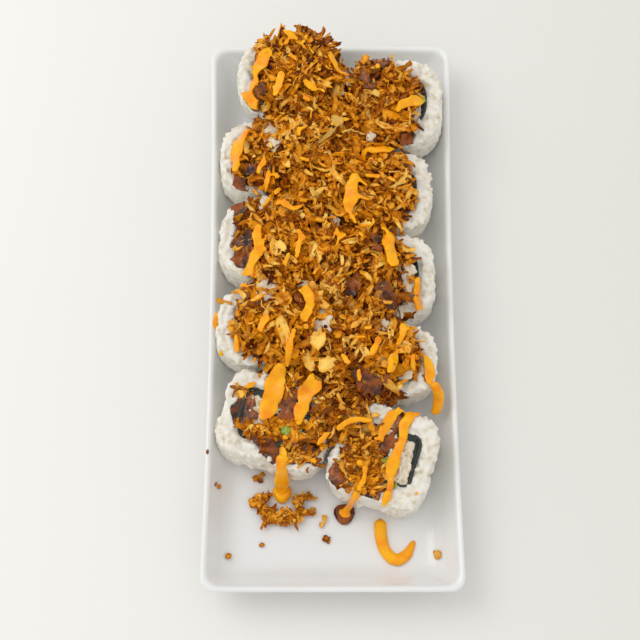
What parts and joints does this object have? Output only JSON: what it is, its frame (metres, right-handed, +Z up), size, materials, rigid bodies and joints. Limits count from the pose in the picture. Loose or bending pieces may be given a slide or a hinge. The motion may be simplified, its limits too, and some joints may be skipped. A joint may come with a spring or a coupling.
{
  "type": "crunchy california roll on a plate",
  "caption": "Inside-out sushi roll slices in two rows on a long white plate, under a heap of crisp fried onion with orange mayo and dark sauce.",
  "frame": {"origin": "centre of the plate on the table under its foot", "axes": "+X to the right, +Y along the plate away from its bare end, +Z up"},
  "size_m": [0.1136, 0.26, 0.046],
  "materials": {
    "porcelain": "glossy white glaze",
    "rice": "moist cooked rice",
    "fried_onion": "crisp fried onion",
    "mayo": "thick orange sauce",
    "dark_sauce": "glossy dark brown sauce"
  },
  "bodies": {
    "root": {"plate": "porcelain", "roll_l1": "rice", "roll_l2": "rice", "roll_l3": "rice", "roll_l4": "rice", "roll_l5": "rice", "roll_r1": "rice", "roll_r2": "rice", "roll_r3": "rice", "roll_r4": "rice", "roll_r5": "rice", "onion_heap": "fried_onion", "front_onions": "fried_onion", "mayo_hook": "mayo", "mayo_blob": "mayo", "sauce_drop": "dark_sauce"}
  },
  "joints": []
}
